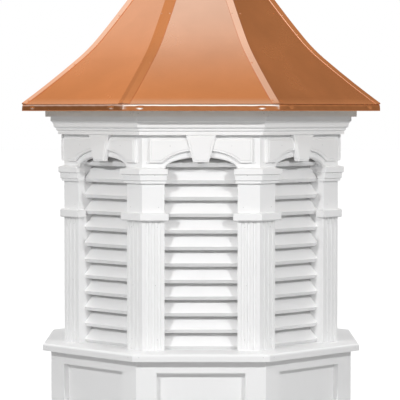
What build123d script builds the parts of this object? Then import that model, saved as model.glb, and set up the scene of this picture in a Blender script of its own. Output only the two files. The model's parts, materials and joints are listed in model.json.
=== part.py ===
from build123d import *
import math
import os

# Octagonal louvred barn cupola with a concave copper roof.
# Millimetres, +Z up, origin in the middle of the base's underside, front face towards -Y.
# "Apothem" is the distance from the vertical axis to a face, measured square to that face.

# ---------------------------------------------------------------- driving dimensions
sides = 8
base_across = 1219.2             # base box over its flats, 48 in
body_across = 1112.4             # pilaster faces over their flats
eave_across = 1443.0             # copper drip edge over its flats
overall_height = 2235.2          # 88 in

base_height = 380.0              # underside of the sill
sill_top = 413.6
spring_height = 1127.2           # underside of the arch boards
crown_bottom = 1258.5
crown_top = 1329.1
cornice_top = 1352.4
eave_height = 1379.6             # outer edge of the copper panels

board = 25.0                     # five-quarter trim board
thin_board = 12.7
roof_board = 19.0

# base box
stile_width = 79.5
top_rail_height = 48.5
bottom_rail_height = 79.5
base_post_depth = 60.0
panel_gap = 0.3                  # between the ends of neighbouring panels, at each end

# sill
sill_overhang = 33.4             # beyond the base box
sill_nose_radius = 11.0
sill_fall = 4.0                  # from its flat top to the top of its edge
sill_flat = 14.0                 # flat part beyond the body face
sill_inner = 448.0               # apothem of its inner edge

# pilasters
pilaster_leg = 87.1              # width on each face
flutes_per_face = 3
flute_spacing = 23.0
flute_radius = 6.6
flute_sink = 1.1                 # how far the flute's centre stands outside the face
mid_band_bottom = 922.6
capital_bottom = 1069.0

# mouldings round a pilaster: (height above their underside, rise from the face, rise into the bay)
mid_band_levels = [(0, 13, 13), (4, 17, 17), (29, 17, 17), (31.5, 1, 1)]
capital_levels = [(0, 10, 8), (9, 10, 8), (13, 15.5, 10), (33, 16.5, 10.5), (36.5, 24, 14), (57, 24, 14)]
weathering_levels = [(57, 24, 0), (63, 1, 0)]

# louvres
blade_count = 12
blade_pitch = 65.315
blade_thickness = 20.0
blade_slope_length = 89.0
blade_setback = 31.5             # nose behind the pilaster face
blade_slope = 45.0

# arch boards, with a raised field in each spandrel: a flat margin round a slightly higher middle
arch_half_width = 139.2
arch_rise = 43.5
arch_arris = 4.0                 # bevel of the arch's front edge
extrados_half_width = 159.0
extrados_rise = 70.8
field_half_width = 202.0
field_bottom = 1149.8
field_top = 1247.0
field_margin = 8.6
field_margin_rise = 12.2
field_rise = 14.0
field_arris = 2.5

# keystones, with a margin and a higher middle like the fields
keystone_bottom = 1152.6
keystone_half_top = 59.5
keystone_half_bottom = 31.1
keystone_margin_rise = 21.9
keystone_rise = 23.6
keystone_arris = 2.0
keystone_margin_top = 4.0
keystone_margin_bottom = 6.0
keystone_middle_half_top = 50.0
keystone_middle_half_bottom = 26.8

# crown moulding: points of its section as (out from the body face, up from its underside)
crown_fillet = (24.5, 13.0)
crown_bevel = (30.9, 17.5)
crown_round_start = (30.9, 25.0)
crown_round_middle = (38.6, 28.2)
crown_cove_start = (41.8, 36.0)
crown_cove_middle = (44.4, 45.0)
crown_cove_end = (53.2, 53.8)

# cornice
cornice_projection = 630.0       # apothem of the cornice board's edge
plate_inner = 470.0              # apothem of the inner edge of plates and roof boards
plate_bottom = 1290.0

# roof: three tangent arcs, each from one (apothem, slope in degrees) to the next
roof_stations = [(720.9, 37.3), (494.9, 41.6), (416.2, 51.3), (39.8, 61.4)]
copper_gauge = 1.2
deck_thickness = 12.0
drip_thickness = 4.0
drip_gap = 1.3                   # drip edge's top below the edge of the panels

# hip caps and peak
cap_flange = 26.0                # width on each panel
cap_depth = 40.0                 # longer than the cap is deep, before the roof is cut out of it
cap_fold_rise = 7.0              # fold line outside the hip, measured level
cap_edge_rise = 2.2              # flange edge outside the panel, measured level
cap_foot = 1380.0
peak_cap_start = 0.86            # share of the highest roof arc that is below the cap
peak_cap_hem = 6.0
peak_cap_apothem = 101.0
peak_cap_shoulder = 53.0         # apothem where the panels end
peak_cap_tip = 9.0

# ---------------------------------------------------------------- derived values
half_turn = 180 / sides                                  # middle of a face to its corner
corner_slope = math.tan(math.radians(half_turn))
base_face = base_across / 2
body_face = body_across / 2
eave_face = eave_across / 2
body_back = body_face - board                            # back of pilasters and arch boards
bay_half = body_face * corner_slope - pilaster_leg       # half the clear width of a bay
panel_front = base_face - board
panel_back = panel_front - thin_board
blade_nose = body_face - blade_setback
reach = 1000.0                                           # longer than anything that it cuts

main_faces = (0, 2, 4, 6)
diagonal_faces = (1, 3, 5, 7)
every_face = range(sides)
face_names = ("front", "front_right", "right", "back_right", "back", "back_left", "left", "front_left")

section = Plane(origin=(0, 0, 0), x_dir=(0, -1, 0), z_dir=(-1, 0, 0))    # x outwards, y up
facade = Plane(origin=(0, -body_face, 0), x_dir=(1, 0, 0), z_dir=(0, -1, 0))     # x along the face, y up


# ---------------------------------------------------------------- helpers
def around(piece, faces):
    """Copies of a piece made on the front face, turned to the given faces."""
    return [Rot(0, 0, half_turn * 2 * face) * piece for face in faces]


def save(name, pieces):
    export_step(Compound(children=list(pieces)), f"parts/{name}.step")


def save_ring(name, piece):
    """A mitred ring as two nodes, so that neighbouring boards are in different files."""
    save(f"{name}_main_faces", around(piece, main_faces))
    save(f"{name}_diagonal_faces", around(piece, diagonal_faces))


def polygon(points):
    return make_face(Polyline(*points, close=True))


def slab(apothem_in, apothem_out, half_width, bottom, top):
    """A plain board on the front face."""
    return Pos(0, -(apothem_in + apothem_out) / 2, (bottom + top) / 2) * Box(
        2 * half_width, apothem_out - apothem_in, top - bottom)


def wedge():
    """The eighth of space that belongs to the front face, between its two mitre planes."""
    far = reach * corner_slope
    return Pos(0, 0, -reach) * extrude(polygon([(0, 0), (-far, -reach), (far, -reach)]), 4 * reach)


def mitred(profile):
    """A moulding along the front face: a section drawn as (apothem, height), mitred at both ends."""
    return extrude(section * profile, reach, both=True) & wedge()


def mitred_board(apothem_in, apothem_out, bottom, top):
    corners = [(apothem_in, bottom), (apothem_out, bottom), (apothem_out, top), (apothem_in, top)]
    return mitred(polygon(corners))


def corner_outline(front, back, end):
    """Plan of a board bent round a corner: the apothems of its front and back, and how far from the
    middle of each face it ends."""
    one_face = [(end, -front), (front * corner_slope, -front), (back * corner_slope, -back), (end, -back)]
    turned = []
    for x, y in one_face:
        spot = Vector(-x, y).rotate(Axis.Z, 2 * half_turn)
        turned.append((spot.X, spot.Y))
    return [one_face[0], one_face[1], turned[0], turned[3], one_face[2], one_face[3]]


def post_outline(front, back, end):
    """Plan of a solid corner post: as the bent board, with a straight back."""
    outline = corner_outline(front, back, end)
    return polygon(outline[:4] + outline[5:])


def collar(bottom, levels, back):
    """A moulding wrapped round a pilaster, made up of levels as listed with the driving dimensions."""
    rings = []
    for height, rise, side_rise in levels:
        outline = corner_outline(body_face + rise, back, bay_half - side_rise)
        rings.append(Pos(0, 0, bottom + height) * polygon(outline))
    return loft(rings, ruled=True)


def roof_curve(depth=0.0, level_out=0.0, stretch=1.0):
    """The roof's outer line as arcs in (apothem, height): depth is measured square to the surface,
    and level_out and stretch move it outwards and widen it for lines in another vertical plane."""
    def place(centre, radius, angle):
        a = centre[0] - (radius + depth) * math.sin(angle)
        z = centre[1] - (radius + depth) * math.cos(angle)
        return (a * stretch + level_out, z)

    arcs = []
    height = eave_height
    for (a_low, slope_low), (a_high, slope_high) in zip(roof_stations, roof_stations[1:]):
        low, high = math.radians(slope_low), math.radians(slope_high)
        radius = (a_low - a_high) / (math.sin(high) - math.sin(low))
        centre = (a_low + radius * math.sin(low), height + radius * math.cos(low))
        arcs.append(ThreePointArc(*[place(centre, radius, angle) for angle in (low, (low + high) / 2, high)]))
        height = centre[1] - radius * math.cos(high)
    return arcs


def roof_layer(outer, inner):
    """The region between two roof curves, closed at the eave and at the peak."""
    foot = Line(inner[0] @ 0, outer[0] @ 0)
    head = Line(outer[-1] @ 1, inner[-1] @ 1)
    return make_face(outer + [head] + inner + [foot])


# ---------------------------------------------------------------- base box
def base_box():
    corner = base_face * corner_slope
    stile_end = corner - stile_width
    stile = extrude(polygon(corner_outline(base_face, panel_front, stile_end)), base_height)
    save("base_corner_boards", around(stile, every_face))

    top_rail = slab(panel_front, base_face, stile_end, base_height - top_rail_height, base_height)
    save("base_top_rails", around(top_rail, every_face))
    bottom_rail = slab(panel_front, base_face, stile_end, 0, bottom_rail_height)
    save("base_bottom_rails", around(bottom_rail, every_face))

    panel_half = panel_back * corner_slope - panel_gap
    panel = slab(panel_back, panel_front, panel_half, 0, base_height)
    save("base_panels", around(panel, every_face))

    post_end = panel_back * corner_slope - base_post_depth
    plan = post_outline(panel_back, panel_back - base_post_depth, post_end)
    save("base_posts", around(extrude(plan, base_height), every_face))


def sill():
    edge = base_face + sill_overhang
    nose = sill_nose_radius
    edge_top = sill_top - sill_fall
    round_start = (edge - nose, edge_top)
    round_middle = (edge - nose * (1 - math.sqrt(0.5)), edge_top - nose * (1 - math.sqrt(0.5)))
    round_end = (edge, edge_top - nose)
    outline = [
        Polyline(round_end, (edge, base_height), (sill_inner, base_height), (sill_inner, sill_top),
                 (body_face + sill_flat, sill_top), round_start),
        ThreePointArc(round_start, round_middle, round_end),
    ]
    save_ring("sill", mitred(make_face(outline)))


# ---------------------------------------------------------------- body
def pilasters():
    plan = polygon(corner_outline(body_face, body_back, bay_half))
    fluted = plan
    first = bay_half + pilaster_leg / 2 - flute_spacing * (flutes_per_face - 1) / 2
    for number in range(flutes_per_face):
        x = first + number * flute_spacing
        flute = Pos(x, -(body_face + flute_sink)) * Circle(flute_radius)
        spot = Vector(-x, -(body_face + flute_sink)).rotate(Axis.Z, 2 * half_turn)
        fluted -= flute
        fluted -= Pos(spot.X, spot.Y) * Circle(flute_radius)
    shaft = Pos(0, 0, sill_top) * extrude(fluted, mid_band_bottom - sill_top)
    neck = Pos(0, 0, mid_band_bottom) * extrude(plan, spring_height - mid_band_bottom)
    pilaster = shaft + neck
    save("pilasters", around(pilaster, every_face))

    band = collar(mid_band_bottom, mid_band_levels, body_back)
    save("mid_bands", around(band - pilaster, every_face))

    capital = collar(capital_bottom, capital_levels, body_back)
    weathering = collar(capital_bottom, weathering_levels, body_face)
    save("capitals", around(capital + weathering - pilaster, every_face))


def posts():
    plan = post_outline(body_back, sill_inner, bay_half)
    post = Pos(0, 0, sill_top) * extrude(plan, plate_bottom - sill_top)
    save("corner_posts", around(post, every_face))
    save_ring("top_plate", mitred_board(plate_inner, body_back, plate_bottom, crown_top))


def louvres():
    slope = math.radians(blade_slope)
    run = blade_slope_length * math.cos(slope)
    rise = blade_slope_length * math.sin(slope)
    drop = blade_thickness * math.cos(slope)
    back = blade_thickness * math.sin(slope)
    blade = [(0, 0), (-run, rise), (-run - back, rise - drop), (-back, -drop)]
    blades = []
    for number in range(blade_count):
        nose_height = sill_top + drop + number * blade_pitch
        outline = polygon([(blade_nose + a, nose_height + z) for a, z in blade])
        blades.append(extrude(section * outline, bay_half, both=True))
    for face, name in enumerate(face_names):
        save(f"louvres_{name}", [Rot(0, 0, 2 * half_turn * face) * blade for blade in blades])


# ---------------------------------------------------------------- arches
def field_outline(inset):
    """Outline of the raised fields before the keystone divides them, drawn in by an inset."""
    outline = Pos(0, (field_bottom + field_top) / 2) * Rectangle(
        2 * (field_half_width - inset), field_top - field_bottom - 2 * inset)
    return outline - Pos(0, spring_height) * Ellipse(extrados_half_width + inset, extrados_rise + inset)


def keystone_outline(half_top, half_bottom, top, bottom):
    return polygon([(-half_bottom, bottom), (half_bottom, bottom), (half_top, top), (-half_top, top)])


def raised(outline, rise):
    """A flat relief that stands out of the body face, and the edges of its front."""
    relief = extrude(facade * outline, rise)
    return relief, relief.faces().sort_by(Axis.Y)[0].outer_wire().edges()


def raised_twice(margin, margin_rise, arris, middle, middle_rise):
    """A relief with a bevelled edge, and on it a slightly higher middle, bevelled too."""
    low, low_edges = raised(margin, margin_rise)
    high, high_edges = raised(middle, middle_rise)
    return chamfer(low_edges, arris) + chamfer(high_edges, middle_rise - margin_rise)


def arch_boards():
    keystone = raised_twice(
        keystone_outline(keystone_half_top, keystone_half_bottom, crown_bottom, keystone_bottom),
        keystone_margin_rise, keystone_arris,
        keystone_outline(keystone_middle_half_top, keystone_middle_half_bottom,
                         crown_bottom - keystone_margin_top, keystone_bottom + keystone_margin_bottom),
        keystone_rise)
    save("keystones", around(keystone, every_face))

    arch = Pos(0, spring_height) * Ellipse(arch_half_width, arch_rise)
    arch_board = mitred_board(body_back, body_face, spring_height, crown_top)
    arch_board -= extrude(facade * arch, board, both=True)
    front_edge = arch_board.edges().filter_by(GeomType.ELLIPSE).sort_by(Axis.Y)[0]
    arch_board = chamfer(front_edge, arch_arris)
    fields = raised_twice(field_outline(0), field_margin_rise, field_arris,
                          field_outline(field_margin), field_rise)
    save_ring("arch_boards", arch_board + (fields - keystone))


# ---------------------------------------------------------------- cornice
def cornice():
    def at(point):
        return (body_face + point[0], crown_bottom + point[1])

    fascia = body_face + crown_cove_end[0]
    outline = [
        Polyline((body_face, crown_bottom), (at(crown_fillet)[0], crown_bottom), at(crown_fillet),
                 at(crown_bevel), at(crown_round_start)),
        ThreePointArc(at(crown_round_start), at(crown_round_middle), at(crown_cove_start)),
        ThreePointArc(at(crown_cove_start), at(crown_cove_middle), at(crown_cove_end)),
        Polyline(at(crown_cove_end), (fascia, crown_top), (body_face, crown_top), (body_face, crown_bottom)),
    ]
    save_ring("crown", mitred(make_face(outline)))
    save_ring("cornice_board", mitred_board(plate_inner, cornice_projection, crown_top, cornice_top))


# ---------------------------------------------------------------- roof
def roof():
    deck_top = cornice_top + roof_board
    drip_back = eave_face - drip_thickness
    save_ring("roof_base", mitred_board(plate_inner, drip_back, cornice_top, deck_top))

    drip_top = eave_height - drip_gap
    round_foot = drip_top - drip_thickness
    round_start = (eave_face, round_foot)
    round_middle = (drip_back + drip_thickness * math.sqrt(0.5), round_foot + drip_thickness * math.sqrt(0.5))
    round_end = (drip_back, drip_top)
    drip = [
        Polyline(round_start, (eave_face, cornice_top), (drip_back, cornice_top), round_end),
        ThreePointArc(round_end, round_middle, round_start),
    ]
    save_ring("drip_edge", mitred(make_face(drip)))

    copper = mitred(roof_layer(roof_curve(), roof_curve(copper_gauge)))
    save_ring("roof_copper", copper)

    deck = mitred(roof_layer(roof_curve(copper_gauge), roof_curve(copper_gauge + deck_thickness)))
    above_base = slab(0, drip_back, reach, deck_top, overall_height)
    save_ring("roof_deck", deck & above_base)


def cap_seat():
    """Where the peak cap's lower edge meets the roof, and where the panels end inside the cap."""
    highest = roof_curve()[-1]
    return highest @ peak_cap_start, highest @ 1


def under_roof():
    """An eighth of everything under the copper panels' outer surface."""
    curve = roof_curve()
    foot, head = curve[0] @ 0, curve[-1] @ 1
    rim = Polyline(head, (0, head.Y), (0, foot.Y), foot)
    return mitred(make_face(curve + [rim]))


def hip_caps():
    """Folded flashings. At every height a flange has the same plan, so its surface is the hip line
    moved level along the flange, from the raised fold to the edge that lies on the panel."""
    turn = math.radians(half_turn)
    fold_along = cap_fold_rise * math.sin(turn)
    fold_out = cap_fold_rise * math.cos(turn)
    tilt = math.degrees(math.atan2(fold_out - cap_edge_rise, cap_flange + fold_along))
    swing = math.cos(math.radians(half_turn + tilt))
    line = {"level_out": cap_fold_rise * swing, "stretch": swing / math.cos(turn)}
    layer = roof_layer(roof_curve(**line), roof_curve(depth=cap_depth, **line))
    flange = Rot(0, 0, -tilt) * extrude(section * layer, reach, both=True)
    strip = Rot(0, 0, half_turn) * slab(0, reach, cap_flange * math.cos(turn), cap_foot, cap_seat()[0].Y)
    inside_eave = slab(0, eave_face, reach, cap_foot, overall_height)
    flange = (flange & wedge() & strip & inside_eave) - under_roof()
    hip_plane = Plane(origin=(0, 0, 0), x_dir=(math.sin(turn), -math.cos(turn), 0),
                      z_dir=(math.cos(turn), math.sin(turn), 0))
    cap = flange + mirror(flange, about=hip_plane)
    save("hip_caps", around(cap, every_face))


def peak_cap():
    foot, head = cap_seat()
    outside = [(foot.X, foot.Y), (peak_cap_apothem, foot.Y), (peak_cap_apothem, foot.Y + peak_cap_hem),
               (peak_cap_shoulder, head.Y + copper_gauge), (peak_cap_tip, overall_height)]
    inside = [(0, overall_height), (0, head.Y), (head.X, head.Y)]
    cap = Part() + around(mitred(polygon(outside + inside)), every_face)
    save("peak_cap", [cap])


if __name__ == "__main__":
    os.makedirs("parts", exist_ok=True)
    base_box()
    sill()
    pilasters()
    posts()
    louvres()
    arch_boards()
    cornice()
    roof()
    hip_caps()
    peak_cap()
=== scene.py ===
import bpy
import json
import math
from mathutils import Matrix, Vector
from mathutils.bvhtree import BVHTree


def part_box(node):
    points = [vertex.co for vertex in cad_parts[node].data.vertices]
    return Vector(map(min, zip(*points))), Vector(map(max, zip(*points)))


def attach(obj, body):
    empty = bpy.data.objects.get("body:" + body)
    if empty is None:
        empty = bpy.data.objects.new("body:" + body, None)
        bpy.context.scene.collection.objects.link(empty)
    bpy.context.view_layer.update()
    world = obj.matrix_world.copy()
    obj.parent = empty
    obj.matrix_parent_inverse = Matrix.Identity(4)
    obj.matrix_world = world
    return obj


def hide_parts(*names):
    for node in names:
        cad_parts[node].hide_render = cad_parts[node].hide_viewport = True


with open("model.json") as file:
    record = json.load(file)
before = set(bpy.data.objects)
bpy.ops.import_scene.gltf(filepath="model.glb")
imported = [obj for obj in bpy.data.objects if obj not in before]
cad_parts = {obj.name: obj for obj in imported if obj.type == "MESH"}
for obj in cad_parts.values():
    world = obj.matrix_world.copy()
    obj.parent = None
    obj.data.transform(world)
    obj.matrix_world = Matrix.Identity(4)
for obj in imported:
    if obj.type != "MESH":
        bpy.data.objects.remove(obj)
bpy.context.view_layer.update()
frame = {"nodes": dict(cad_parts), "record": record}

# Barn cupola: white trim boards and a copper roof. Metres, front towards -Y.
# Its faces are numbered from the front, face 0, anticlockwise as seen from above.

SIDES = 8
FACE_TURN = 2 * math.pi / SIDES
HALF_TURN = FACE_TURN / 2                    # from the middle of a face to its corner
nodes = frame["nodes"]
subparts = frame["record"]["subparts"]


# ---------------------------------------------------------------- node helpers
def new_material(name):
    material = bpy.data.materials.new(name)
    material.use_nodes = True
    tree = material.node_tree
    return material, tree, tree.nodes["Principled BSDF"]


def feed(tree, node, inputs):
    """Sets inputs of a node, by name or number, each to a value or to the socket that feeds it."""
    for key, value in inputs.items():
        if isinstance(value, bpy.types.NodeSocket):
            tree.links.new(value, node.inputs[key])
        else:
            node.inputs[key].default_value = value


def add(tree, kind, inputs, **properties):
    node = tree.nodes.new(kind)
    for key, value in properties.items():
        setattr(node, key, value)
    feed(tree, node, inputs)
    return node


def math_node(tree, operation, *inputs):
    return add(tree, "ShaderNodeMath", dict(enumerate(inputs)), operation=operation).outputs[0]


def vector_node(tree, operation, inputs, output="Vector"):
    return add(tree, "ShaderNodeVectorMath", inputs, operation=operation).outputs[output]


def object_place(tree):
    return add(tree, "ShaderNodeTexCoord", {}).outputs["Object"]


def upward(tree, vector):
    """How high a place is, or how far up a normal points."""
    return add(tree, "ShaderNodeSeparateXYZ", {0: vector}).outputs["Z"]


def ramp(tree, value, start, end, low=0.0, high=1.0):
    """Runs smoothly from low to high while the value runs from start to end."""
    inputs = {"Value": value, "From Min": start, "From Max": end, "To Min": low, "To Max": high}
    return add(tree, "ShaderNodeMapRange", inputs, interpolation_type="SMOOTHSTEP").outputs["Result"]


def mixed(tree, factor, first, second):
    """A blend of two colours, each a colour or a socket."""
    colours = {"Factor": factor, 6: first, 7: second}
    return add(tree, "ShaderNodeMix", colours, data_type="RGBA").outputs[2]


def noise(tree, place, scale, detail=2.0, roughness=0.5):
    inputs = {"Vector": place, "Scale": scale, "Detail": detail, "Roughness": roughness}
    return add(tree, "ShaderNodeTexNoise", inputs).outputs["Fac"]


def bump(tree, height, strength, distance, under=None):
    """The normal of a bumped surface, on top of another bump where there is one."""
    inputs = {"Height": height, "Strength": strength, "Distance": distance}
    if under is not None:
        inputs["Normal"] = under
    return add(tree, "ShaderNodeBump", inputs).outputs["Normal"]


# ---------------------------------------------------------------- materials
# Painted light: one white paint in three shades, each fitted to how bright its part comes out under the
# lamps; the base boards lighter, to make up for the weaker light low down, the trim darker.
TRIM_WHITE, LOUVRE_WHITE, BASE_WHITE = 0.885, 0.930, 0.945
UNEVEN_WHITE = 0.006
COOLER, WARMER = 0.002, 0.001                # the blue that its darker patches gain and its lighter ones lose
WHITE_ROUGHNESS = (0.36, 0.48)
PATCHES = (0.3, 0.7)                         # a noise's values between which its patches blend
BASE_BOARDS = ["base_panels", "base_corner_boards", "base_top_rails", "base_bottom_rails"]

COPPER = (0.70, 0.265, 0.10, 1)
COPPER_EDGE = (0.95, 0.70, 0.57, 1)          # what it reflects at a glancing angle
# Painted reflection: the paler copper that stands in for bright light reflected by the panels towards the
# peak.
COPPER_PAINTED_SHINE = (0.80, 0.49, 0.35, 1)
COPPER_EAVE_PAINTED_SHINE = (0.74, 0.37, 0.21, 1)          # painted reflection just above the eave, in front
COPPER_EAVE_SIDE_PAINTED_SHINE = (0.84, 0.34, 0.14, 1)     # and the same painted reflection at the sides
# Painted highlight: the pale colour of the drip edge's up-turned parts, its rounded top and the lower halves
# of its dimples.
COPPER_PAINTED_HIGHLIGHT = (0.82, 0.70, 0.63, 1)
COPPER_TONE = (0.95, 1.03)                   # its patches, as shares of its colour
GLOSSY_SHARE, DULL_SHARE = 0.88, 1.12        # and as shares of its roughness
PAINTED_SHINE_FOOT, PAINTED_SHINE_HEAD = 1.40, 1.80          # heights between which the painted reflection grows
# Heights over which the painted reflection above the eave fades out upwards.
PAINTED_EAVE_SHINE_FOOT, PAINTED_EAVE_SHINE_HEAD = 1.380, 1.405
RIM_LEVEL, RIM_TILTED = 0.03, 0.14           # the drip edge is painted pale, as a highlight, between these upward tilts
# A painted reflection's spread in degrees: the way it faces, how far to either side it is full, and how far
# it reaches.
PANEL_PAINTED_SHINE = (-8, 12, 52)
CAP_PAINTED_SHINE = (-22, 16, 30)
CAP_PAINTED_SHINE_START = 0.75                       # the painted reflection's share at the foot, where the panels have none
PANEL_ROUGHNESS, CAP_ROUGHNESS, DRIP_ROUGHNESS, RIVET_ROUGHNESS = 0.25, 0.13, 0.10, 0.18
PANEL_DENTS, CAP_DENTS, DRIP_DENTS, RIVET_DENTS = 0.25, 0.10, 0.05, 0.0

SOFTWOOD = (0.58, 0.40, 0.23, 1)
SOFTWOOD_RING = (0.42, 0.26, 0.13, 1)
SOFTWOOD_FIBRE = (0.66, 0.50, 0.32, 1)
FILLER_DARK, FILLER_LIGHT = (0.42, 0.42, 0.42, 1), (0.66, 0.66, 0.65, 1)


def white_board(name, shade):
    """Smooth white board: a faint unevenness of tone and gloss, a slight ripple and a fine grit."""
    material, tree, shader = new_material(name)
    place = object_place(tree)
    tone = noise(tree, place, scale=9.0, detail=3.0)
    low, high = shade - UNEVEN_WHITE, shade + UNEVEN_WHITE
    dark, light = (low, low, low + COOLER, 1), (high, high, high - WARMER, 1)
    ripple = bump(tree, noise(tree, place, scale=14.0, detail=1.0), strength=0.08, distance=0.0015)
    grit = bump(tree, noise(tree, place, scale=900.0), strength=0.12, distance=0.0001, under=ripple)
    feed(tree, shader, {
        "Base Color": mixed(tree, tone, dark, light),
        "Roughness": ramp(tree, tone, *PATCHES, *WHITE_ROUGHNESS),
        "Normal": grit,
    })
    return material


def facing_share(tree, normal, middle, full, none):
    """1 where a surface faces within the full angle of the middle one, and 0 past the last one."""
    level = vector_node(tree, "MULTIPLY", {0: normal, 1: (1, 1, 0)})
    heading = vector_node(tree, "NORMALIZE", {0: level})
    ahead = (math.sin(math.radians(middle)), -math.cos(math.radians(middle)), 0)
    facing = vector_node(tree, "DOT_PRODUCT", {0: heading, 1: ahead}, "Value")
    return ramp(tree, facing, math.cos(math.radians(none)), math.cos(math.radians(full)))


def copper(name, roughness, dents, painted_shine=PANEL_PAINTED_SHINE, painted_shine_start=0.0, painted_eave_shine=False, painted_highlight=False):
    """New copper sheet, uneven in tone and gloss, with a painted reflection that makes it paler towards the
    peak where it faces the front, a little to the left; where asked, also painted lighter just above the
    eave, and with a painted highlight where the drip edge turns up.
    """
    material, tree, shader = new_material(name)
    coordinates = add(tree, "ShaderNodeTexCoord", {})
    place, normal = coordinates.outputs["Object"], coordinates.outputs["Normal"]
    height = upward(tree, place)
    side = facing_share(tree, normal, *painted_shine)

    # Painted reflection: the copper turns paler towards the peak, on the faces turned to the front.
    painted_shine_rise = ramp(tree, height, PAINTED_SHINE_FOOT, PAINTED_SHINE_HEAD, painted_shine_start)
    colour = mixed(tree, math_node(tree, "MULTIPLY", painted_shine_rise, side), COPPER, COPPER_PAINTED_SHINE)
    # Painted reflection: the copper just above the eave is painted lighter, paler in front.
    if painted_eave_shine:
        near = ramp(tree, height, PAINTED_EAVE_SHINE_HEAD, PAINTED_EAVE_SHINE_FOOT)
        colour = mixed(tree, near, colour, mixed(tree, side, COPPER_EAVE_SIDE_PAINTED_SHINE, COPPER_EAVE_PAINTED_SHINE))
    # Painted highlight: where the drip edge faces upwards it turns pale.
    if painted_highlight:
        rim = ramp(tree, upward(tree, normal), RIM_LEVEL, RIM_TILTED)
        colour = mixed(tree, math_node(tree, "MULTIPLY", rim, side), colour, COPPER_PAINTED_HIGHLIGHT)

    patches = noise(tree, place, scale=3.5, detail=4.0, roughness=0.6)
    tone = ramp(tree, patches, *PATCHES, *COPPER_TONE)
    waves = noise(tree, place, scale=6.0, detail=1.0)
    feed(tree, shader, {
        "Base Color": vector_node(tree, "SCALE", {0: colour, "Scale": tone}),
        "Roughness": ramp(tree, patches, *PATCHES, roughness * GLOSSY_SHARE, roughness * DULL_SHARE),
        "Metallic": 1.0,
        "Specular Tint": COPPER_EDGE,
        "Normal": bump(tree, waves, strength=dents, distance=0.004),
    })
    return material


def timber():
    """Softwood framing: growth rings stretched along the board, and fine fibres."""
    material, tree, shader = new_material("timber")
    stretch = {"Vector": object_place(tree), "Scale": (1, 1, 9)}
    stretched = add(tree, "ShaderNodeMapping", stretch).outputs["Vector"]
    waves = {"Vector": stretched, "Scale": 2.2, "Distortion": 5.0, "Detail": 3.0}
    rings = add(tree, "ShaderNodeTexWave", waves, wave_type="BANDS", bands_direction="Z").outputs["Fac"]
    fibres = noise(tree, stretched, scale=60.0, detail=6.0, roughness=0.7)
    grain = mixed(tree, rings, SOFTWOOD, SOFTWOOD_RING)
    pale = ramp(tree, fibres, 0.35, 0.75, high=0.5)
    feed(tree, shader, {
        "Base Color": mixed(tree, pale, grain, SOFTWOOD_FIBRE),
        "Roughness": 0.75,
        "Normal": bump(tree, fibres, strength=0.3, distance=0.0006),
    })
    return material


def nail_filler():
    """The patchy grey filler over the nail heads."""
    material, tree, shader = new_material("nail_filler")
    patches = noise(tree, object_place(tree), scale=40.0)
    feed(tree, shader, {"Base Color": mixed(tree, patches, FILLER_DARK, FILLER_LIGHT), "Roughness": 0.6})
    return material


def dress_frame():
    """Gives each CAD node the finish of its material slot, or one of its own."""
    by_slot = {
        "white_trim": white_board("white_trim", TRIM_WHITE),
        "louvre": white_board("white_louvre", LOUVRE_WHITE),
        "copper": copper("copper", PANEL_ROUGHNESS, PANEL_DENTS, painted_eave_shine=True),
        "framing": timber(),
    }
    # The base boards get the lighter shade of white: painted light.
    by_node = dict.fromkeys(BASE_BOARDS, white_board("white_base", BASE_WHITE))
    by_node["hip_caps"] = copper("copper_caps", CAP_ROUGHNESS, CAP_DENTS, CAP_PAINTED_SHINE, CAP_PAINTED_SHINE_START,
                                 painted_eave_shine=True)
    for row in subparts:
        mesh = nodes[row["node"]].data
        mesh.materials.clear()
        mesh.materials.append(by_node.get(row["node"], by_slot[row["material_slot"]]))


# ---------------------------------------------------------------- pieces
def new_piece(name, points, faces, material):
    mesh = bpy.data.meshes.new(name)
    mesh.from_pydata(points, [], faces)
    mesh.update()
    mesh.materials.append(material)
    mesh.shade_smooth()
    piece = bpy.data.objects.new(name, mesh)
    bpy.context.scene.collection.objects.link(piece)
    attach(piece, "root")
    return piece


def heading(face):
    """Which way a face looks, and the way along it, to its right as seen from outside."""
    turn = face * FACE_TURN
    return Vector((math.sin(turn), -math.cos(turn), 0)), Vector((math.cos(turn), math.sin(turn), 0))


def raised(height):
    return Vector((0, 0, height))


def quarter_turn(steps):
    """The angles of a quarter circle, from 0 up, in equal steps."""
    return [math.radians(90) * step / steps for step in range(steps + 1)]


# Drip edge: one thin skin right round the eave.
DRIP_DEPTH = 0.004
DRIP_ROUND = 0.009                           # height over which its top turns in
DRIP_HEM = 0.0012
DRIP_CORNER = 0.0045
ROUND_STEPS, FACE_STEPS, HEM_STEPS, CORNER_STEPS = 12, 8, 3, 5
COLUMN_STEP, FINE_STEP = 0.009, 0.0018       # along a face, and near its rivets and corners
FINE_BY_RIVET, FINE_BY_CORNER = 0.022, 0.02
RIVET_FROM_CORNER = 0.066
RIVET_DROP = 0.013                           # below the drip edge's top
DIMPLE_DEPTH = 0.0016
DIMPLE_REACH, DIMPLE_RISE = 0.011, 0.0045
CORNER_PULL, CORNER_REACH = 0.0016, 0.014    # how far its corners are drawn in, and how wide
LEAN_START = -0.008                          # height above its rivets from which it gives more and more
LEAN_RISE = 0.02                             # height over which that grows to its full share
LEAN_SHARE = 0.6                             # the part of the slow wave that grows with it
SLOW_WAVE, FINE_WAVE = 0.00035, 0.00012      # depths of its unevenness
SLOW_TURN, FINE_TURN, FINE_CLIMB = 41, 127, 120     # radians a metre, along the face and up it
SLOW_SHIFT, FINE_SHIFT = 2.1, 4.7            # radians from one face to the next


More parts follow.
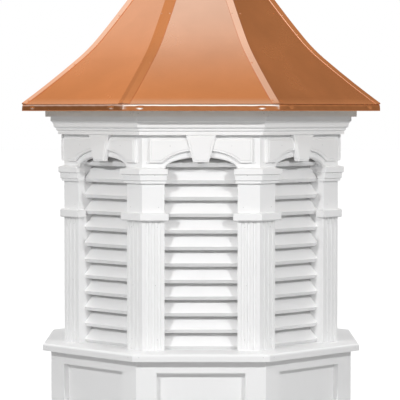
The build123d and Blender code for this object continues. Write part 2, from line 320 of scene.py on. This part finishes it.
def drip_profile(foot, top):
    """The skin's section as (depth behind its face, height), from the back of its top to its hem's back."""
    spring = top - DRIP_ROUND
    points = []
    for angle in reversed(quarter_turn(ROUND_STEPS)):
        points.append((DRIP_DEPTH * (1 - math.cos(angle)), spring + DRIP_ROUND * math.sin(angle)))
    for step in range(1, FACE_STEPS + 1):
        points.append((0, spring + (foot + DRIP_HEM - spring) * step / FACE_STEPS))
    for angle in quarter_turn(HEM_STEPS)[1:]:
        points.append((DRIP_HEM * (1 - math.cos(angle)), foot + DRIP_HEM * (1 - math.sin(angle))))
    return points + [(DRIP_DEPTH, foot)]


def drip_columns(flat_length, corner_length):
    """Places along one face, out to where it starts to turn to the next."""
    places = {0.0}
    reach = 0.0
    while reach < flat_length:
        by_rivet = abs(reach - (corner_length - RIVET_FROM_CORNER)) < FINE_BY_RIVET
        by_corner = flat_length - reach < FINE_BY_CORNER
        reach = min(reach + (FINE_STEP if by_rivet or by_corner else COLUMN_STEP), flat_length)
        places |= {reach, -reach}
    return sorted(places)


def drip_give(along, above_rivets, corner_length, face):
    """How far the skin gives way behind its true face: at its corners, round its rivets, and in waves."""
    lean = max(above_rivets - LEAN_START, 0) / LEAN_RISE
    give = CORNER_PULL * math.exp((abs(along) - corner_length) / CORNER_REACH) * lean
    for side in (-1, 1):
        across = (along - side * (corner_length - RIVET_FROM_CORNER)) / DIMPLE_REACH
        give += DIMPLE_DEPTH * math.exp(-across ** 2 - (above_rivets / DIMPLE_RISE) ** 2)
    slow = 1 + math.sin(along * SLOW_TURN + face * SLOW_SHIFT)
    fine = 1 + math.sin(along * FINE_TURN + face * FINE_SHIFT + above_rivets * FINE_CLIMB)
    return give + SLOW_WAVE * slow * (1 - LEAN_SHARE + LEAN_SHARE * lean) + FINE_WAVE * fine


def drip_edge(material):
    """Makes the skin. Returns its apothem, half the length of a face, and the height of its rivets."""
    low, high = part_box("drip_edge_main_faces")
    apothem, foot, top = high.x, low.z, high.z
    rivet_height = top - RIVET_DROP
    profile = drip_profile(foot, top)
    flat_length = (apothem - DRIP_CORNER) * math.tan(HALF_TURN)
    corner_length = apothem * math.tan(HALF_TURN)
    points = []

    def add_column(face, place, start, out, reach):
        for depth, height in profile:
            give = drip_give(place, height - rivet_height, corner_length, face)
            behind = depth + min(give, DRIP_DEPTH - depth)
            points.append(start + out * (reach - behind) + raised(height))

    for face in range(SIDES):
        out, along = heading(face)
        for place in drip_columns(flat_length, corner_length):
            add_column(face, place, along * place, out, apothem)
        pivot = out * (apothem - DRIP_CORNER) + along * flat_length
        for step in range(1, CORNER_STEPS):
            turned, _ = heading(face + step / CORNER_STEPS)
            add_column(face, corner_length, pivot, turned, DRIP_CORNER)

    rows = len(profile)
    columns = len(points) // rows
    faces = []
    for column in range(columns):
        here, following = column * rows, (column + 1) % columns * rows
        for row in range(rows):
            below = (row + 1) % rows
            faces.append((here + row, here + below, following + below, following + row))
    skin = new_piece("drip_edge_skin", points, faces, material)
    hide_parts("drip_edge_main_faces", "drip_edge_diagonal_faces")
    return apothem, corner_length, rivet_height


# A domed head's rings, from the sunk one up: (share of its radius, share of its rise).
DOME_RINGS = [(1, -0.4), (1, 0.25), (0.72, 0.75), (0.38, 0.96)]
DOME_SEGMENTS = 12


def dome(points, faces, centre, axis, radius, rise):
    """Adds a closed domed head that sits on the surface at the centre."""
    axis = axis.normalized()
    side = axis.cross(raised(1))
    side = side.normalized() if side.length > 0.01 else Vector((1, 0, 0))
    other = axis.cross(side)
    start = len(points)
    for reach, height in DOME_RINGS:
        for step in range(DOME_SEGMENTS):
            angle = 2 * math.pi * step / DOME_SEGMENTS
            spoke = side * math.cos(angle) + other * math.sin(angle)
            points.append(centre + spoke * reach * radius + axis * height * rise)
    points.append(centre + axis * rise)
    last = start + (len(DOME_RINGS) - 1) * DOME_SEGMENTS
    for step in range(DOME_SEGMENTS):
        beside = (step + 1) % DOME_SEGMENTS
        for ring in range(start, last, DOME_SEGMENTS):
            above = ring + DOME_SEGMENTS
            faces.append((ring + step, ring + beside, above + beside, above + step))
        faces.append((last + step, last + beside, len(points) - 1))
    faces.append(tuple(start + step for step in reversed(range(DOME_SEGMENTS))))


def surface_of(names):
    """What a ray meets on the named nodes together."""
    points, faces = [], []
    for name in names:
        mesh = nodes[name].data
        start = len(points)
        points += [vertex.co.copy() for vertex in mesh.vertices]
        faces += [[start + index for index in polygon.vertices] for polygon in mesh.polygons]
    return BVHTree.FromPolygons(points, faces)


RAY_START = 2.0                              # well outside the cupola


def inward_hit(surface, face, along, height):
    """Where a level ray that goes straight in at a face meets the surface, and the surface's normal."""
    out, side = heading(face)
    start = out * RAY_START + side * along + raised(height)
    place, normal, _, _ = surface.ray_cast(start, -out)
    if place is None:
        return None, None
    return place, normal if normal.dot(out) > 0 else -normal


# Hip caps: a pair of rivets, one in each flange, at each of these heights.
CAP_RIVET_HEIGHTS = [1.3925, 1.5405, 1.7415, 1.925, 2.06]
CAP_RIVET_FROM_FOLD = 0.021
RIVET_RADIUS, RIVET_RISE = 0.0034, 0.0015
DRIP_RIVET_RADIUS = RIVET_RADIUS * 0.8
DRIP_RIVET_BACK = DIMPLE_DEPTH + 0.0006      # how far behind the drip edge's face it sits


def rivets(material, apothem, corner_length, rivet_height):
    points, faces = [], []
    caps = surface_of(["hip_caps"])
    for face in range(SIDES):
        for height in CAP_RIVET_HEIGHTS:
            fold, _ = inward_hit(caps, face + 0.5, 0, height)
            reach = fold.xy.length * math.sin(HALF_TURN) - CAP_RIVET_FROM_FOLD
            for side, beside in ((-1, face + 1), (1, face)):
                place, normal = inward_hit(caps, beside, side * reach, height)
                if place is not None:
                    dome(points, faces, place, normal, RIVET_RADIUS, RIVET_RISE)
    for face in range(SIDES):
        out, along = heading(face)
        for side in (-1, 1):
            centre = out * (apothem - DRIP_RIVET_BACK) + raised(rivet_height)
            centre += along * side * (corner_length - RIVET_FROM_CORNER)
            dome(points, faces, centre, out, DRIP_RIVET_RADIUS, RIVET_RISE)
    new_piece("copper_rivets", points, faces, material)


# Filled nail heads in the trim of every face: (along the face to either side, height).
NAILS = [
    (0.243, 1.343), (0.182, 1.272), (0.120, 1.216), (0.213, 1.150), (0.180, 1.101), (0.165, 0.976),
    (0.215, 0.952), (0.171, 0.898), (0.178, 0.669), (0.171, 0.456), (0.241, 0.397),
]
NAIL_RADIUS, NAIL_RISE = 0.0015, 0.0003
NAIL_TILT = 0.3                              # a nail only goes where the board faces up or down less


def nail_heads(material):
    points, faces = [], []
    trim = surface_of([row["node"] for row in subparts if row["material_slot"] == "white_trim"])
    for face in range(SIDES):
        for along, height in NAILS:
            for side in (-1, 1):
                place, normal = inward_hit(trim, face, side * along, height)
                if place is not None and abs(normal.z) < NAIL_TILT:
                    dome(points, faces, place, normal, NAIL_RADIUS, NAIL_RISE)
    new_piece("nail_heads", points, faces, material)


# ---------------------------------------------------------------- light
# A soft light is an even level and a list of lobes: (direction, sharpness, strength).
ROOM_LEVEL = 0.31
ROOM_LOBES = [
    ((0, 0, 1), 1, 0.30), ((0, 1, 0), 2, 0.35), ((-0.9, 0.43, 0), 2, 0.10), ((0.9, 0.43, 0), 2, 0.10),
]
# What polished surfaces reflect: broad glows first, then patches that light single panels and edges.
SHINE_LEVEL = 0.05
SHINE_LOBES = [
    ((-0.43, -0.25, 0.87), 2, 1.12), ((-0.13, 0.96, 0.26), 2, 0.30), ((0.50, -0.87, 0), 2, 0.70),
    ((0.81, -0.32, 0.50), 8, 0.95), ((0.71, 0.71, 0), 8, 0.66), ((-0.70, -0.07, 0.71), 8, 0.19),
    ((0, 1, 0), 20, 0.47), ((0.59, 0.63, 0.50), 20, 0.18), ((-0.75, 0.43, 0.50), 20, 0.20),
    ((-0.41, 0.60, 0.69), 30, 0.20), ((0.43, 0.25, 0.87), 60, 0.65), ((0.25, 0.43, 0.87), 60, 0.70),
    ((-0.25, 0.43, 0.87), 60, 0.55), ((-0.30, 0.40, 0.87), 60, 0.15), ((0.68, 0.19, 0.71), 60, 0.16),
    ((-0.79, 0.56, 0.26), 60, 1.60), ((-0.70, -0.71, 0.10), 60, 1.4), ((0, -0.89, 0.45), 100, 1.2),
]

# Small lamps stand round the cupola, higher than it: (name, degrees round from the front, watts).
LAMPS = [
    ("front_left", -29, 256.0), ("front_right", 29, 245.0),
    ("back_left", -132, 130.0), ("back_right", 132, 130.0),
]
LAMP_REACH, LAMP_HEIGHT, LAMP_RADIUS = 4.2, 2.65, 0.04

WHITE = (1, 1, 1, 1)
FLOOR_WHITE = 0.35
FLOOR_GLOW = 0.80                            # added where the floor is seen directly
FLOOR_SHINE = 0.30                           # added where polished surfaces reflect it
FLOOR_REACH = 60.0
FLOOR_DROP = 0.0005                          # below the cupola's foot


def soft_light(tree, level, lobes):
    """The strength of the light that comes from each direction."""
    place = add(tree, "ShaderNodeTexCoord", {}).outputs["Generated"]
    total = level
    for direction, sharpness, strength in lobes:
        towards = Vector(direction).normalized()
        facing = vector_node(tree, "DOT_PRODUCT", {0: place, 1: towards}, "Value")
        lobe = math_node(tree, "POWER", math_node(tree, "MAXIMUM", facing, 0), sharpness)
        total = math_node(tree, "MULTIPLY_ADD", lobe, strength, total)
    return total


def background(tree, strength):
    return add(tree, "ShaderNodeBackground", {"Color": WHITE, "Strength": strength}).outputs[0]


def blend(tree, factor, first, second):
    return add(tree, "ShaderNodeMixShader", {0: factor, 1: first, 2: second}).outputs[0]


def ray_kinds(tree):
    """1 for the rays that see a thing itself, bare or through glass, and 1 for those that reflect it."""
    ray = add(tree, "ShaderNodeLightPath", {})
    direct = math_node(tree, "MAXIMUM", ray.outputs["Is Camera Ray"], ray.outputs["Is Transmission Ray"])
    return direct, ray.outputs["Is Glossy Ray"]


def studio():
    """A room that lights the cupola, one that its copper reflects, and plain white behind it."""
    world = bpy.data.worlds.new("studio")
    bpy.context.scene.world = world
    world.use_nodes = True
    tree = world.node_tree
    tree.nodes.clear()
    direct, glossy = ray_kinds(tree)
    room = background(tree, soft_light(tree, ROOM_LEVEL, ROOM_LOBES))
    shine = background(tree, soft_light(tree, SHINE_LEVEL, SHINE_LOBES))
    seen = blend(tree, direct, blend(tree, glossy, room, shine), background(tree, 1.0))
    add(tree, "ShaderNodeOutputWorld", {"Surface": seen})


def lamps():
    for name, azimuth, power in LAMPS:
        light = bpy.data.lights.new(name, "POINT")
        light.energy = power
        light.shadow_soft_size = LAMP_RADIUS
        stand = bpy.data.objects.new(name, light)
        turn = math.radians(azimuth)
        stand.location = (math.sin(turn) * LAMP_REACH, -math.cos(turn) * LAMP_REACH, LAMP_HEIGHT)
        bpy.context.scene.collection.objects.link(stand)


def floor():
    material, tree, shader = new_material("floor")
    feed(tree, shader, {"Base Color": (FLOOR_WHITE, FLOOR_WHITE, FLOOR_WHITE, 1), "Roughness": 0.9})
    direct, glossy = ray_kinds(tree)
    seen = math_node(tree, "MULTIPLY", direct, FLOOR_GLOW)
    strength = math_node(tree, "MULTIPLY_ADD", glossy, FLOOR_SHINE, seen)
    glow = add(tree, "ShaderNodeEmission", {"Color": WHITE, "Strength": strength})
    both = add(tree, "ShaderNodeAddShader", {0: shader.outputs[0], 1: glow.outputs[0]})
    feed(tree, tree.nodes["Material Output"], {"Surface": both.outputs[0]})

    far = FLOOR_REACH
    mesh = bpy.data.meshes.new("floor")
    mesh.from_pydata([(-far, -far, 0), (far, -far, 0), (far, far, 0), (-far, far, 0)], [], [(0, 1, 2, 3)])
    mesh.materials.append(material)
    plane = bpy.data.objects.new("floor", mesh)
    plane.location.z = -FLOOR_DROP
    bpy.context.scene.collection.objects.link(plane)


# ---------------------------------------------------------------- camera
CAMERA_DISTANCE = 8.4
CAMERA_HEIGHT = 1.3485
FOCAL_WIDTHS = 5.026                         # focal length over the picture's width
PITCH_DOWN = math.radians(2.509)
TURN_LEFT = math.radians(0.029)
SENSOR = 36.0                                # millimetres


def camera():
    scene = bpy.context.scene
    data = bpy.data.cameras.new("camera")
    data.sensor_width = SENSOR
    data.lens = SENSOR * FOCAL_WIDTHS
    data.clip_start, data.clip_end = 0.1, 200
    eye = bpy.data.objects.new("camera", data)
    eye.location = (0, -CAMERA_DISTANCE, CAMERA_HEIGHT)
    eye.rotation_euler = (math.radians(90) - PITCH_DOWN, 0, TURN_LEFT)
    scene.collection.objects.link(eye)
    scene.camera = eye
    scene.view_settings.view_transform = "Standard"


dress_frame()
drip_sizes = drip_edge(copper("copper_drip", DRIP_ROUGHNESS, DRIP_DENTS, painted_highlight=True))
rivets(copper("copper_rivets", RIVET_ROUGHNESS, RIVET_DENTS), *drip_sizes)
nail_heads(nail_filler())
studio()
lamps()
floor()
camera()
